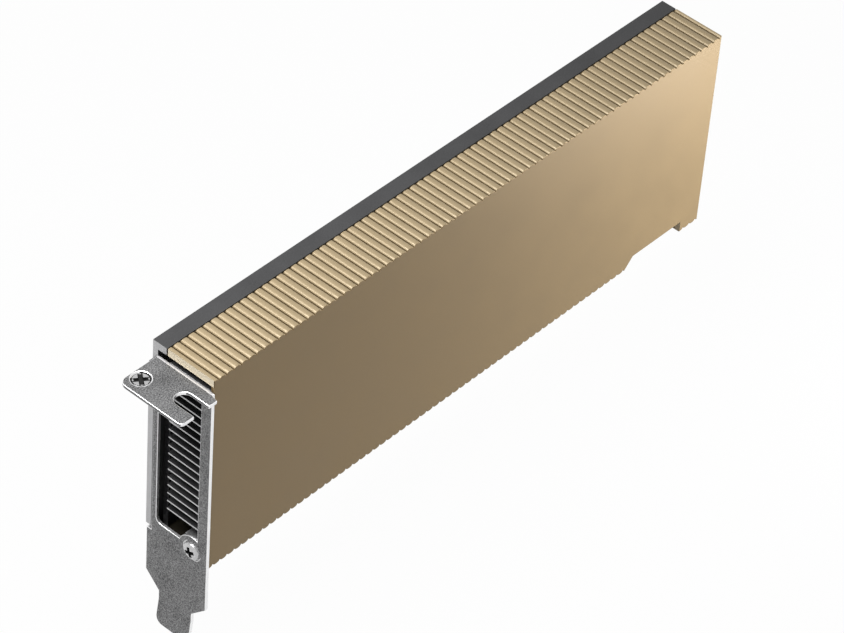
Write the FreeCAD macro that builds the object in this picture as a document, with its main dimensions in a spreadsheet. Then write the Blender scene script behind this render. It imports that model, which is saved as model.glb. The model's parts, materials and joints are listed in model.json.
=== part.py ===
import FreeCAD, Part
import os
import Sketcher

# Passive accelerator card: a low-profile, single-slot, bus-powered card.
# Units are millimetres. The frame is the card's own: the origin lies on the tip of the card-edge
# tongue, on the centre line of its key notch and on the board's middle plane. X runs along the card
# away from the bracket, Z is up from the tongue, and the component side faces -Y.

# Driving sizes

SIZES = {
    # overall card
    "card_height": 68.90,
    "card_reach": 108.60,
    "front_height": 14.00,
    "back_height": 2.55,
    # circuit board and its card-edge tongue
    "board_thickness": 1.57,
    "board_near": 57.15,
    "board_end_inset": 0.50,
    "board_top_gap": 0.40,
    "board_foot": 8.25,
    "tongue_near": 12.15,
    "tongue_far": 72.15,
    "tongue_corner": 1.00,
    "key_width": 1.90,
    "key_depth": 7.95,
    "latch_gap": 2.40,
    "latch_root": 7.20,
    "latch_tip": 2.80,
    "latch_width": 3.60,
    "latch_slope": 1.20,
    "contact_width": 0.70,
    "contact_length": 4.20,
    "contact_foot": 0.60,
    "contact_thickness": 0.06,
    "contacts_before_key": 11,
    "contacts_after_key": 71,
    "first_contact": 1.50,
    "contact_end_gap": 0.65,
    # ribbed heatsink cover
    "cover_gap": 0.40,
    "cover_height": 56.50,
    "cover_wall": 2.00,
    "cover_front": 0.90,
    "rib_count": 75,
    "first_rib": 1.40,
    "last_rib": 0.83,
    "rib_shoulder": 0.30,
    "rib_shoulder_drop": 0.28,
    "groove_depth": 0.95,
    "relief_from_end": 6.70,
    "relief_length": 17.60,
    "relief_ramp": 2.80,
    "relief_rise": 3.00,
    # heatsink
    "base_gap": 2.115,
    "base_thickness": 1.80,
    "base_near_gap": 8.65,
    "base_far_gap": 4.60,
    "base_foot_gap": 7.60,
    "base_top_gap": 2.90,
    "fin_count": 19,
    "fin_thickness": 0.40,
    "fin_low_gap": 1.80,
    "fin_high_gap": 0.60,
    "fin_end_gap": 1.60,
    "fin_board_gap": 1.00,
    "fin_base_gap": 0.20,
    # back frame
    "frame_sheet": 1.60,
    "frame_flange": 2.00,
    "frame_rim": 1.50,
    "frame_end_gap": 0.25,
    "side_strip_foot_gap": 2.50,
    "side_strip_top_gap": 5.40,
    # bracket
    "sheet": 0.86,
    "bracket_setback": 59.05,
    "bracket_width": 18.42,
    "bracket_height": 79.20,
    "bracket_front": 0.62,
    "bend_radius": 0.40,
    "tab_drop": 2.30,
    "tab_depth": 11.43,
    "tab_shift": 2.22,
    "tab_corner": 2.00,
    "tab_tip": 1.20,
    "side_cut": 1.40,
    "side_cut_drop": 1.10,
    "side_cut_gap": 0.60,
    "slot_radius": 2.21,
    "slot_from_face": 5.40,
    "slot_reach": 7.30,
    "shoulder": 4.115,
    "tail_length": 9.085,
    "tail_bend": 2.40,
    "tail_lean": 0.90,
    "tail_corner": 2.00,
    "window_left": 2.80,
    "window_right": 3.00,
    "window_foot_gap": 4.90,
    "window_top_gap": 6.50,
    "window_corner": 1.50,
    # bracket fixing screw, its block, and the screw in the tab
    "fix_from_edge": 4.50,
    "fix_rise": 3.90,
    "fix_arch": 4.00,
    "fix_recess": 0.30,
    "fix_recess_radius": 2.60,
    "fix_head_radius": 2.30,
    "fix_head_height": 1.25,
    "fix_radius": 1.25,
    "fix_length": 6.00,
    "block_length": 6.50,
    "block_reach": 2.90,
    "block_height": 4.90,
    "tab_hole_from_face": 7.50,
    "tab_hole_from_edge": 2.65,
    "tab_hole_radius": 1.60,
    "tab_sink_radius": 2.40,
    "tab_head_radius": 2.00,
    "tab_head_drop": 0.20,
    # processor package
    "chip_centre": 10.00,
    "chip_drop": 0.60,
    "substrate_side": 34.00,
    "substrate_thickness": 1.20,
    "die_width": 19.00,
    "die_height": 23.00,
    "die_thickness": 0.70,
    "stiffener_width": 2.60,
    "stiffener_thickness": 0.50,
    "paste_thickness": 0.10,
    # memory
    "memory_width": 12.00,
    "memory_thickness": 1.10,
    "memory_side_gap": 6.00,
    "memory_column_gap": 2.00,
    "memory_row_gap": 0.80,
    "memory_edge_gap": 1.20,
    # power stages, chokes and small parts
    "choke_side": 7.00,
    "choke_thickness": 1.80,
    "choke_edge_gap": 5.25,
    "stage_width": 5.00,
    "stage_height": 6.00,
    "stage_thickness": 0.90,
    "stage_gap": 1.50,
    "bulk_width": 4.30,
    "bulk_height": 7.30,
    "bulk_thickness": 1.90,
    "bulk_row_gap": 1.30,
    "firmware_width": 5.20,
    "firmware_height": 6.00,
    "firmware_thickness": 0.90,
    "firmware_drop": 8.40,
    "crystal_width": 2.50,
    "crystal_height": 3.20,
    "crystal_thickness": 0.80,
    "crystal_rise": 1.60,
    "left_column_gap": 4.00,
    "coupling_count": 32,
    "coupling_first": 3.00,
    "coupling_end_gap": 3.45,
    "coupling_rise": 1.05,
    "coupling_width": 0.60,
    "coupling_length": 1.10,
    "coupling_thickness": 0.50,
    "back_cap_side": 1.60,
    "back_cap_thickness": 0.80,
    "back_cap_gap": 1.60,
    # processor screws, spring plate and film
    "grip_across": 20.00,
    "grip_up": 14.00,
    "grip_boss_side": 4.80,
    "grip_radius": 1.25,
    "grip_head_radius": 2.30,
    "grip_head_height": 1.20,
    "grip_depth": 1.30,
    "grip_window_side": 6.00,
    "spring_margin": 3.60,
    "spring_thickness": 0.60,
    "spring_opening": 24.00,
    "film_thickness": 0.15,
    # frame screws and spacers
    "tie_near_gap": 11.65,
    "tie_far_gap": 8.10,
    "tie_foot_gap": 11.60,
    "tie_top_gap": 8.90,
    "tie_radius": 1.00,
    "tie_head_radius": 1.90,
    "tie_head_height": 0.90,
    "tie_depth": 1.80,
    "tie_boss_side": 5.40,
    "spacer_radius": 2.60,
    # clearances
    "screw_clearance": 0.05,
    "hole_clearance": 0.30,
    "head_clearance": 0.30,
}

# A cross recess, as shares of its screw head's radius and height

CROSS_REACH = 0.55
CROSS_HALF_WIDTH = 0.14
CROSS_DEPTH = 0.60

# How many of each repeated part on the board

CHOKE_ROWS = 4
BULK_ROWS = 4

# How the free width between the memory and the far spacers is shared out

FREE_BEFORE_CHOKES = 0.60
FREE_BEFORE_BULK = 0.26
BACK_CAP_COLUMNS = (-2, -1, 0, 1, 2)
BACK_CAP_ROWS = (-1, 0, 1)

doc = FreeCAD.newDocument("accelerator_card")
sheet = doc.addObject("Spreadsheet::Sheet", "Sizes")
for row, (alias, number) in enumerate(SIZES.items(), start=1):
    sheet.set(f"A{row}", alias)
    sheet.set(f"B{row}", str(number))
    sheet.setAlias(f"B{row}", alias)
doc.recompute()


class Size:
    """A length that knows both its number and the expression that the document keeps for it."""

    def __init__(self, value, text):
        self.value = value
        self.text = text

    def __add__(self, other):
        other = as_size(other)
        return Size(self.value + other.value, f"({self.text} + {other.text})")

    def __sub__(self, other):
        other = as_size(other)
        return Size(self.value - other.value, f"({self.text} - {other.text})")

    def __mul__(self, other):
        other = as_size(other)
        return Size(self.value * other.value, f"({self.text} * {other.text})")

    def __truediv__(self, other):
        other = as_size(other)
        return Size(self.value / other.value, f"({self.text} / {other.text})")

    def __neg__(self):
        return Size(-self.value, f"(-1 * {self.text})")


def as_size(number):
    return number if isinstance(number, Size) else Size(float(number), repr(float(number)))


class Sizes:
    """Each spreadsheet cell, by its alias."""

    def __getattr__(self, alias):
        return Size(float(SIZES[alias]), f"Sizes.{alias}")


s = Sizes()
ZERO = as_size(0)

# Places that several pieces share

board_back = s.board_thickness / 2
board_face = -board_back
board_top = s.card_height - s.frame_flange - s.board_top_gap
board_end = s.card_reach - s.board_end_inset
cover_face = board_face - s.front_height
cover_inner = cover_face + s.cover_front
cover_near = s.cover_gap - s.bracket_setback
cover_low = s.card_height - s.cover_height
rib_pitch = (s.card_reach - cover_near - s.first_rib - s.last_rib) / (s.rib_count - 1)
frame_face = board_back + s.back_height
frame_near = s.frame_end_gap - s.bracket_setback
side_strip_low = cover_low + s.side_strip_foot_gap
side_strip_high = s.card_height - s.side_strip_top_gap
plate_in = -s.bracket_setback
plate_out = plate_in - s.sheet
plate_right = cover_face - s.bracket_front
plate_left = plate_right + s.bracket_width
tab_top = s.card_height - s.tab_drop
tab_under = tab_top - s.sheet
tab_left = plate_left - s.tab_shift
tab_right = tab_left - s.bracket_width
fix_y = plate_right + s.fix_from_edge
fix_z = cover_low + s.fix_rise
fix_seat = plate_out + s.fix_recess
tab_hole_x = plate_out - s.tab_hole_from_face
tab_hole_y = tab_left - s.tab_hole_from_edge
base_back = board_face - s.base_gap
base_front = base_back - s.base_thickness
base_near = cover_near + s.base_near_gap
base_far = s.card_reach - s.base_far_gap
base_low = cover_low + s.base_foot_gap
base_high = s.card_height - s.base_top_gap
base_height = base_high - base_low
chip_z = base_low + base_height / 2 - s.chip_drop
film_back = board_back + s.film_thickness
spring_back = film_back + s.spring_thickness
grip_places = [
    (s.chip_centre + s.grip_across * i, chip_z + s.grip_up * j) for i in (-1, 1) for j in (-1, 1)
]
tie_far = s.card_reach - s.tie_far_gap
tie_places = [
    (x, z) for x in (cover_near + s.tie_near_gap, tie_far)
    for z in (cover_low + s.tie_foot_gap, s.card_height - s.tie_top_gap)
]

# Ways of making a piece

nodes = []


def bind(thing, prop, size):
    """Ties one property of an object to the sheet."""
    thing.setExpression(prop, as_size(size).text)


def new_body(label, several=False):
    body = doc.addObject("PartDesign::Body", label)
    body.Label = label
    body.AllowCompound = several
    nodes.append(body)
    return body


def new_sketch(body, role, offset=ZERO):
    """A sketch on one of the body's own planes, moved by offset along the plane's normal."""
    plane = next(item for item in body.Origin.OriginFeatures if item.Role == role)
    sketch = body.newObject("Sketcher::SketchObject", "Sketch")
    sketch.AttachmentSupport = [(plane, "")]
    sketch.MapMode = "FlatFace"
    bind(sketch, "AttachmentOffset.Base.z", offset)
    return sketch


def fix_point(sketch, geometry, point, across, up):
    """Holds one point of the sketch at a place that the sheet gives."""
    for kind, size in (("DistanceX", across), ("DistanceY", up)):
        size = as_size(size)
        index = sketch.addConstraint(Sketcher.Constraint(kind, -1, 1, geometry, point, size.value))
        sketch.setExpression(f"Constraints[{index}]", size.text)


def arc_between(start, end, radius, turn):
    """The shorter arc from start to end: turn 1 runs anticlockwise, -1 clockwise."""
    middle = (start + end) / 2
    half = (end - start) / 2
    rise = max(radius * radius - half.Length * half.Length, 0.0) ** 0.5
    across = FreeCAD.Vector(-half.y, half.x, 0).normalize()
    centre = middle + across * rise * turn
    bulge = middle - centre
    if bulge.Length < 1e-9:
        bulge = across * -turn
    return Part.Arc(start, centre + bulge.normalize() * radius, end)


def outline(sketch, corners):
    """A closed outline. A corner is (across, up), or (across, up, radius, turn) where the edge
    that leaves it is an arc. Every corner and radius is tied to the sheet."""
    corners = [tuple(corner) + (None, 0) if len(corner) == 2 else tuple(corner) for corner in corners]
    points = [FreeCAD.Vector(as_size(c[0]).value, as_size(c[1]).value, 0) for c in corners]
    first = sketch.GeometryCount
    for number, corner in enumerate(corners):
        start, end = points[number], points[(number + 1) % len(points)]
        if corner[2] is None:
            sketch.addGeometry(Part.LineSegment(start, end), False)
        else:
            arc = arc_between(start, end, as_size(corner[2]).value, corner[3])
            sketch.addGeometry(arc, False)

    def ends(number):
        """The point numbers of an edge's start and end. An arc is always kept anticlockwise."""
        clockwise = corners[number][2] is not None and corners[number][3] < 0
        return (2, 1) if clockwise else (1, 2)

    count = len(corners)
    for number in range(count):
        following = (number + 1) % count
        sketch.addConstraint(Sketcher.Constraint(
            "Coincident", first + number, ends(number)[1], first + following, ends(following)[0]))
    for number, corner in enumerate(corners):
        fix_point(sketch, first + number, ends(number)[0], corner[0], corner[1])
        if corner[2] is not None:
            radius = as_size(corner[2])
            index = sketch.addConstraint(Sketcher.Constraint("Radius", first + number, radius.value))
            sketch.setExpression(f"Constraints[{index}]", radius.text)


def rectangle(sketch, left, right, low, high):
    outline(sketch, [(left, low), (right, low), (right, high), (left, high)])


def square(sketch, across, up, side):
    rectangle(sketch, across - side / 2, across + side / 2, up - side / 2, up + side / 2)


def circle(sketch, across, up, radius):
    radius = as_size(radius)
    centre = FreeCAD.Vector(as_size(across).value, as_size(up).value, 0)
    number = sketch.addGeometry(Part.Circle(centre, FreeCAD.Vector(0, 0, 1), radius.value), False)
    fix_point(sketch, number, 3, across, up)
    index = sketch.addConstraint(Sketcher.Constraint("Radius", number, radius.value))
    sketch.setExpression(f"Constraints[{index}]", radius.text)


def pad(body, sketch, length, back=False):
    feature = body.newObject("PartDesign::Pad", "Pad")
    feature.Profile = sketch
    feature.Reversed = back
    bind(feature, "Length", length)
    return feature


def pocket(body, sketch, length=None):
    """Cuts the sketch's outline away along the plane's normal, or both ways right through."""
    feature = body.newObject("PartDesign::Pocket", "Pocket")
    feature.Profile = sketch
    if length is None:
        feature.Midplane = True
        bind(feature, "Length", (s.card_reach + s.bracket_setback) * 2)
    else:
        feature.Reversed = True
        bind(feature, "Length", length)
    return feature


def repeat(body, feature, role, pitch, count):
    """Repeats a feature along one of the body's own axes."""
    axis = next(item for item in body.Origin.OriginFeatures if item.Role == role)
    pattern = body.newObject("PartDesign::LinearPattern", "LinearPattern")
    pattern.Originals = [feature]
    pattern.Direction = (axis, [""])
    bind(pattern, "Length", pitch * (count - 1))
    bind(pattern, "Occurrences", count)
    body.Tip = pattern
    return pattern


def box(name, low, high):
    """A Part box from its lowest to its highest corner."""
    solid = doc.addObject("Part::Box", name)
    for prop, start, end in zip(("Length", "Width", "Height"), low, high):
        bind(solid, prop, as_size(end) - start)
    for letter, start in zip("xyz", low):
        bind(solid, f"Placement.Base.{letter}", start)
    return solid


ROTATIONS = {
    "+X": FreeCAD.Rotation(FreeCAD.Vector(0, 1, 0), 90),
    "+Y": FreeCAD.Rotation(FreeCAD.Vector(1, 0, 0), -90),
    "-Y": FreeCAD.Rotation(FreeCAD.Vector(1, 0, 0), 90),
    "-Z": FreeCAD.Rotation(FreeCAD.Vector(1, 0, 0), 180),
    "+Z": FreeCAD.Rotation(),
}


def round_bar(name, start, way, radius, length, end_radius=None):
    """A cylinder, or a cone where end_radius is given, from start along way."""
    if end_radius is None:
        solid = doc.addObject("Part::Cylinder", name)
        bind(solid, "Radius", radius)
    else:
        solid = doc.addObject("Part::Cone", name)
        bind(solid, "Radius1", radius)
        bind(solid, "Radius2", end_radius)
    bind(solid, "Height", length)
    solid.Placement = FreeCAD.Placement(FreeCAD.Vector(), ROTATIONS[way])
    for letter, place in zip("xyz", start):
        bind(solid, f"Placement.Base.{letter}", place)
    return solid


def joined(name, solids):
    whole = doc.addObject("Part::MultiFuse", name)
    whole.Shapes = solids
    return whole


def without(name, solid, tools):
    rest = doc.addObject("Part::Cut", name)
    rest.Base = solid
    rest.Tool = tools[0] if len(tools) == 1 else joined(name + "_tools", tools)
    return rest


def keep(label, solids):
    """Makes one node of one solid, or of several alike that stay separate."""
    if len(solids) == 1:
        node = solids[0]
    else:
        node = doc.addObject("Part::Compound", label)
        node.Links = solids
    node.Label = label
    nodes.append(node)
    return node


# Bracket: a flat plate, a bend, the tab above it and the tail below, all one folded sheet

def make_bracket():
    body = new_body("io_bracket")
    plate_top = tab_under - s.bend_radius
    cut_left = plate_left - s.side_cut
    tail_left = plate_left - s.shoulder
    tail_right = plate_right + s.shoulder
    tail_end = tab_top - s.bracket_height
    shoulder_end = tail_end + s.tail_length
    shoulder_start = shoulder_end + s.shoulder
    cut_low = side_strip_low - s.side_cut_drop
    cut_high = side_strip_high + s.side_cut_gap
    plate = new_sketch(body, "YZ_Plane", plate_out)
    outline(plate, [
        (plate_right, shoulder_start),
        (plate_right, plate_top),
        (tab_left, plate_top),
        (tab_left, cut_high),
        (cut_left, cut_high),
        (cut_left, cut_low),
        (plate_left, cut_low),
        (plate_left, shoulder_start),
        (tail_left, shoulder_end),
        (tail_right, shoulder_end),
    ])
    pad(body, plate, s.sheet)
    make_tail(body, tail_left, tail_right, shoulder_end, tail_end)
    make_tab(body, plate_top)
    make_window(body)
    hole = new_sketch(body, "YZ_Plane", plate_out)
    circle(hole, fix_y, fix_z, s.fix_radius + s.hole_clearance)
    pocket(body, hole, s.sheet)
    recess = new_sketch(body, "YZ_Plane", plate_out)
    circle(recess, fix_y, fix_z, s.fix_recess_radius)
    pocket(body, recess, s.fix_recess)
    return body


def make_tail(body, tail_left, tail_right, shoulder_end, tail_end):
    """The tail that goes into the chassis slot leans out a little and has round corners."""
    knee = shoulder_end - s.tail_bend
    side = new_sketch(body, "XZ_Plane", -tail_left)
    outline(side, [
        (plate_out, shoulder_end),
        (plate_out, knee),
        (plate_out - s.tail_lean, tail_end),
        (plate_in - s.tail_lean, tail_end),
        (plate_in, knee),
        (plate_in, shoulder_end),
    ])
    pad(body, side, tail_left - tail_right)
    for edge, way in ((tail_right, 1), (tail_left, -1)):
        corner = new_sketch(body, "YZ_Plane", plate_out - s.tail_lean)
        outline(corner, [
            (edge, tail_end + s.tail_corner, s.tail_corner, way),
            (edge + s.tail_corner * way, tail_end),
            (edge, tail_end),
        ])
        pocket(body, corner, s.sheet + s.tail_lean)


def make_tab(body, plate_top):
    """The bend at the plate's head, and the tab with its open screw slot and its second hole."""
    tab_start = plate_out - s.bend_radius
    tab_end = plate_out - s.tab_depth
    bend = new_sketch(body, "XZ_Plane", -tab_left)
    outline(bend, [
        (plate_out, plate_top),
        (plate_in, plate_top, s.bend_radius + s.sheet, 1),
        (tab_start, tab_top),
        (tab_start, tab_under, s.bend_radius, -1),
    ])
    pad(body, bend, tab_left - plate_right)
    slot_x = plate_out - s.slot_from_face
    slot_y = tab_right + s.slot_reach - s.slot_radius
    tab = new_sketch(body, "XY_Plane", tab_under)
    outline(tab, [
        (tab_start, plate_right),
        (tab_start, tab_left),
        (tab_end + s.tab_corner, tab_left, s.tab_corner, 1),
        (tab_end, tab_left - s.tab_corner),
        (tab_end, tab_right + s.tab_tip, s.tab_tip, 1),
        (tab_end + s.tab_tip, tab_right),
        (slot_x - s.slot_radius, tab_right),
        (slot_x - s.slot_radius, slot_y, s.slot_radius, -1),
        (slot_x + s.slot_radius, slot_y),
        (slot_x + s.slot_radius, tab_right),
        (tab_start - s.bend_radius, tab_right),
        (tab_start, plate_right - s.bend_radius),
    ])
    pad(body, tab, s.sheet)
    hole = new_sketch(body, "XY_Plane", tab_under)
    circle(hole, tab_hole_x, tab_hole_y, s.tab_hole_radius)
    pocket(body, hole, s.sheet)
    sink = body.newObject("PartDesign::SubtractiveCone", "Countersink")
    bind(sink, "Radius1", s.tab_hole_radius)
    bind(sink, "Radius2", s.tab_sink_radius)
    bind(sink, "Height", s.sheet)
    bind(sink, "Placement.Base.x", tab_hole_x)
    bind(sink, "Placement.Base.y", tab_hole_y)
    bind(sink, "Placement.Base.z", tab_under)


def make_window(body):
    """The vent opening, which steps up over the fixing screw's dimple."""
    left = plate_left - s.window_left
    right = plate_right + s.window_right
    low, high = cover_low + s.window_foot_gap, s.card_height - s.window_top_gap
    r = s.window_corner
    edge = fix_y - right
    rise = low - fix_z
    arch_left = fix_y + size_root(s.fix_arch, rise)
    arch_right = fix_z + size_root(s.fix_arch, edge)
    window = new_sketch(body, "YZ_Plane", plate_out)
    outline(window, [
        (arch_left, low, s.fix_arch, 1),
        (right, arch_right),
        (right, high - r, r, -1),
        (right + r, high),
        (left - r, high, r, -1),
        (left, high - r),
        (left, low + r, r, -1),
        (left - r, low),
    ])
    pocket(body, window, s.sheet)


def size_root(radius, leg):
    """The other leg of a right-angled triangle whose long side is radius."""
    number = (radius.value ** 2 - leg.value ** 2) ** 0.5
    return Size(number, f"sqrt({radius.text}^2 - {leg.text}^2)")


# Ribbed cover: a duct open at both ends, with ridges across its top and bottom walls

def make_cover():
    body = new_body("heatsink_cover")
    block = new_sketch(body, "XZ_Plane", board_back)
    rectangle(block, cover_near, s.card_reach, cover_low, s.card_height)
    pad(body, block, s.front_height)
    duct = new_sketch(body, "XZ_Plane", board_back)
    over = rib_pitch
    rectangle(duct, cover_near - over, s.card_reach + over, cover_low + s.cover_wall,
              s.card_height - s.cover_wall)
    pocket(body, duct, s.front_height - s.cover_front)
    start = s.card_reach - s.relief_from_end
    relief = new_sketch(body, "XZ_Plane", board_back)
    outline(relief, [
        (start, cover_low - over),
        (start, cover_low + s.relief_rise),
        (start - s.relief_length, cover_low + s.relief_rise),
        (start - s.relief_length - s.relief_ramp, cover_low),
        (start - s.relief_length - s.relief_ramp, cover_low - over),
    ])
    pocket(body, relief)
    for level, up in ((s.card_height, 1), (cover_low, -1)):
        groove = new_sketch(body, "XZ_Plane", board_back)
        groove_outline(groove, level, up)
        repeat(body, pocket(body, groove), "X_Axis", rib_pitch, s.rib_count)
    return body


def groove_outline(sketch, level, up):
    """One groove between two ridges with sloping shoulders, cut down from their crests at level."""
    middle = cover_near + s.first_rib
    reach = rib_pitch / 2
    outside = level + rib_pitch * up
    shoulder = level - s.rib_shoulder_drop * up
    outline(sketch, [
        (middle - reach, level),
        (middle - s.rib_shoulder, shoulder),
        (middle, level - s.groove_depth * up),
        (middle + s.rib_shoulder, shoulder),
        (middle + reach, level),
        (middle + reach, outside),
        (middle - reach, outside),
    ])


# Back frame: the sheet behind the board, its top flange and the side strip beside the bracket

def make_frame():
    body = new_body("back_frame")
    panel = new_sketch(body, "XZ_Plane", -frame_face)
    outline(panel, [
        (frame_near, cover_low),
        (s.card_reach, cover_low),
        (s.card_reach, s.card_height),
        (frame_near, s.card_height),
        (frame_near, side_strip_high),
        (plate_out, side_strip_high),
        (plate_out, side_strip_low),
        (frame_near, side_strip_low),
    ])
    pad(body, panel, s.frame_sheet)
    flange = new_sketch(body, "XZ_Plane", -frame_face)
    rectangle(flange, frame_near, s.card_reach, s.card_height - s.frame_flange, s.card_height)
    pad(body, flange, s.back_height + s.board_thickness)
    foot_rim = new_sketch(body, "XZ_Plane", -frame_face)
    rectangle(foot_rim, -s.board_near, s.card_reach, cover_low, cover_low + s.frame_rim)
    pad(body, foot_rim, s.back_height)
    end_rim = new_sketch(body, "XZ_Plane", -frame_face)
    rectangle(end_rim, s.card_reach - s.frame_rim, s.card_reach, cover_low, s.card_height)
    pad(body, end_rim, s.back_height)
    bosses = new_sketch(body, "XZ_Plane", -frame_face)
    windows = new_sketch(body, "XZ_Plane", -frame_face)
    heads = new_sketch(body, "XZ_Plane", -frame_face)
    shanks = new_sketch(body, "XZ_Plane", -frame_face)
    for x, z in tie_places:
        square(bosses, x, z, s.tie_boss_side)
        circle(heads, x, z, s.tie_head_radius + s.head_clearance)
        circle(shanks, x, z, s.tie_radius + s.hole_clearance)
    for x, z in grip_places:
        square(windows, x, z, s.grip_window_side)
    pad(body, bosses, s.back_height)
    pocket(body, windows, s.frame_sheet)
    pocket(body, heads, s.tie_head_height)
    pocket(body, shanks, s.back_height)
    return body


# Circuit board with its card-edge tongue, key notch and retention hook

def make_board():
    body = new_body("circuit_board")
    latch = s.tongue_far + s.latch_gap
    latch_end = latch + s.latch_width
    board = new_sketch(body, "XZ_Plane", -board_back)
    outline(board, [
        (-s.board_near, s.board_foot),
        (-s.tongue_near, s.board_foot),
        (-s.tongue_near, s.tongue_corner),
        (s.tongue_corner - s.tongue_near, ZERO),
        (-s.key_width / 2, ZERO),
        (-s.key_width / 2, s.key_depth),
        (s.key_width / 2, s.key_depth),
        (s.key_width / 2, ZERO),
        (s.tongue_far - s.tongue_corner, ZERO),
        (s.tongue_far, s.tongue_corner),
        (s.tongue_far, s.latch_root),
        (latch, s.latch_root),
        (latch, s.latch_tip + s.latch_slope),
        (latch + s.latch_slope, s.latch_tip),
        (latch_end, s.latch_tip),
        (latch_end, s.board_foot),
        (board_end, s.board_foot),
        (board_end, board_top),
        (-s.board_near, board_top),
    ])
    pad(body, board, s.board_thickness)
    holes = new_sketch(body, "XZ_Plane", -board_back)
    for x, z in grip_places:
        circle(holes, x, z, s.grip_radius + s.hole_clearance)
    for x, z in tie_places:
        circle(holes, x, z, s.tie_radius + s.hole_clearance)
    pocket(body, holes, s.board_thickness)
    return body


def make_contacts(label, face, outward):
    """The gold contact pads on one face of the tongue, in two groups beside the key notch."""
    body = new_body(label, several=True)
    run = s.tongue_far - s.contact_end_gap - s.first_contact
    pitch = run / (s.contacts_after_key - 1)
    groups = (
        (s.first_contact, s.contacts_after_key),
        (-s.first_contact - pitch * (s.contacts_before_key - 1), s.contacts_before_key),
    )
    for first, count in groups:
        finger = new_sketch(body, "XZ_Plane", -face)
        rectangle(finger, first - s.contact_width / 2, first + s.contact_width / 2,
                  s.contact_foot, s.contact_foot + s.contact_length)
        one = pad(body, finger, s.contact_thickness, back=outward > 0)
        repeat(body, one, "X_Axis", pitch, count)
    return body


# Heatsink: base plate with pedestal and screw bosses, and the fins that stand on it

def make_base():
    body = new_body("heatsink_base")
    plate = new_sketch(body, "XZ_Plane", -base_back)
    rectangle(plate, base_near, base_far, base_low, base_high)
    pad(body, plate, s.base_thickness)
    stack = s.substrate_thickness + s.die_thickness + s.paste_thickness
    pedestal = new_sketch(body, "XZ_Plane", -base_back)
    rectangle(pedestal, s.chip_centre - s.die_width / 2, s.chip_centre + s.die_width / 2,
              chip_z - s.die_height / 2, chip_z + s.die_height / 2)
    pad(body, pedestal, s.base_gap - stack, back=True)
    bosses = new_sketch(body, "XZ_Plane", -base_back)
    grips = new_sketch(body, "XZ_Plane", -board_face)
    for x, z in grip_places:
        square(bosses, x, z, s.grip_boss_side)
        circle(grips, x, z, s.grip_radius + s.screw_clearance)
    pad(body, bosses, s.base_gap, back=True)
    pocket(body, grips, s.base_gap + s.grip_depth + s.screw_clearance)
    return body


def make_fins():
    """Plates across the card, which run past the base towards the bracket and reach back there."""
    body = new_body("heatsink_fins", several=True)
    heel = board_face - s.fin_board_gap
    heel_end = base_near - s.fin_base_gap
    fin_end = s.card_reach - s.fin_end_gap
    fin_low = base_low + s.fin_low_gap
    fin_high = base_high - s.fin_high_gap - s.fin_thickness
    fin = new_sketch(body, "XY_Plane", fin_low)
    outline(fin, [
        (cover_near, heel),
        (cover_near, cover_inner),
        (fin_end, cover_inner),
        (fin_end, base_front),
        (heel_end, base_front),
        (heel_end, heel),
    ])
    pitch = (fin_high - fin_low) / (s.fin_count - 1)
    repeat(body, pad(body, fin, s.fin_thickness), "Z_Axis", pitch, s.fin_count)
    return body


# Screws: a head, a shank and a cross recess

def screw(name, seat, way, radius, length, head_radius, head_height, cross=True):
    """A pan-head screw. The underside of its head is at seat, and its shank runs along way."""
    back = {"+X": (-1, 0, 0), "-Y": (0, 1, 0)}[way]
    head_start = [place + head_height * step for place, step in zip(seat, back)]
    head = round_bar(name + "_head", head_start, way, head_radius, head_height)
    shank = round_bar(name + "_shank", seat, way, radius, length)
    whole = joined(name + "_whole", [head, shank])
    if not cross:
        return whole
    long, thin = head_radius * CROSS_REACH, head_radius * CROSS_HALF_WIDTH
    deep = head_height * CROSS_DEPTH
    tools = []
    for number, (first, second) in enumerate(((long, thin), (thin, long))):
        if way == "+X":
            low = (head_start[0], seat[1] - first, seat[2] - second)
            high = (head_start[0] + deep, seat[1] + first, seat[2] + second)
        else:
            low = (seat[0] - first, head_start[1] - deep, seat[2] - second)
            high = (seat[0] + first, head_start[1], seat[2] + second)
        tools.append(box(f"{name}_cross{number}", low, high))
    return without(name, whole, tools)


def make_screws():
    keep("bracket_screw", [screw(
        "bracket_screw", (fix_seat, fix_y, fix_z), "+X", s.fix_radius, s.fix_length,
        s.fix_head_radius, s.fix_head_height)])
    grip_length = spring_back - base_back + s.grip_depth
    keep("processor_screws", [screw(
        f"processor_screw{number}", (x, spring_back, z), "-Y", s.grip_radius, grip_length,
        s.grip_head_radius, s.grip_head_height, cross=False)
        for number, (x, z) in enumerate(grip_places)])
    tie_seat = frame_face - s.tie_head_height
    tie_length = tie_seat - board_face + s.tie_depth
    keep("frame_screws", [screw(
        f"frame_screw{number}", (x, tie_seat, z), "-Y", s.tie_radius, tie_length,
        s.tie_head_radius, s.tie_head_height, cross=False)
        for number, (x, z) in enumerate(tie_places)])


def make_tab_screw():
    """A short countersunk screw that stays within the tab's thickness."""
    top = tab_top - s.tab_head_drop
    stem = s.tab_hole_radius - s.screw_clearance
    sunk = s.tab_head_radius - stem
    head = round_bar("tab_screw_head", (tab_hole_x, tab_hole_y, top), "-Z",
                     s.tab_head_radius, sunk, end_radius=stem)
    shank = round_bar("tab_screw_shank", (tab_hole_x, tab_hole_y, top), "-Z", stem,
                      top - tab_under)
    long, thin = s.tab_head_radius * CROSS_REACH, s.tab_head_radius * CROSS_HALF_WIDTH
    deep = (top - tab_under) * CROSS_DEPTH
    tools = [
        box(f"tab_screw_cross{number}",
            (tab_hole_x - first, tab_hole_y - second, top - deep),
            (tab_hole_x + first, tab_hole_y + second, top))
        for number, (first, second) in enumerate(((long, thin), (thin, long)))
    ]
    keep("tab_screw", [without("tab_screw", joined("tab_screw_whole", [head, shank]), tools)])


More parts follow.
